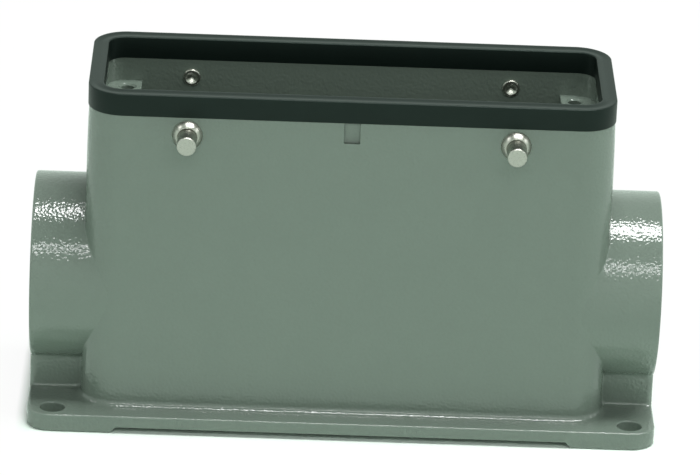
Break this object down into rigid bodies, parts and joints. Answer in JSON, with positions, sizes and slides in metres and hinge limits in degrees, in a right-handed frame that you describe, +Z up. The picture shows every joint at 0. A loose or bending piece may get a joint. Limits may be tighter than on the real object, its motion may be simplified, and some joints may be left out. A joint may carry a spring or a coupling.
{
  "type": "surface mounting housing of a heavy duty rectangular connector",
  "caption": "Tall die-cast surface-mounting connector housing: rubber-capped open mouth with locking pegs, a threaded cable entry boss at each end and a flange with bolt holes.",
  "frame": {"origin": "centre of the underside of the base flange, on the plane of its feet", "axes": "+X along the housing, +Y towards the rear, +Z up through the mouth; the front with the notch faces -Y"},
  "size_m": [0.1444, 0.0578, 0.0805],
  "materials": {
    "body_paint": "grey-green powder coat with a fine pebble texture",
    "seal_rubber": "matt black rubber",
    "peg_steel": "turned stainless steel"
  },
  "bodies": {
    "root": {"housing": "body_paint", "rim_seal": "seal_rubber", "peg_front_left": "peg_steel", "peg_front_right": "peg_steel", "peg_rear_left": "peg_steel", "peg_rear_right": "peg_steel"}
  },
  "joints": []
}
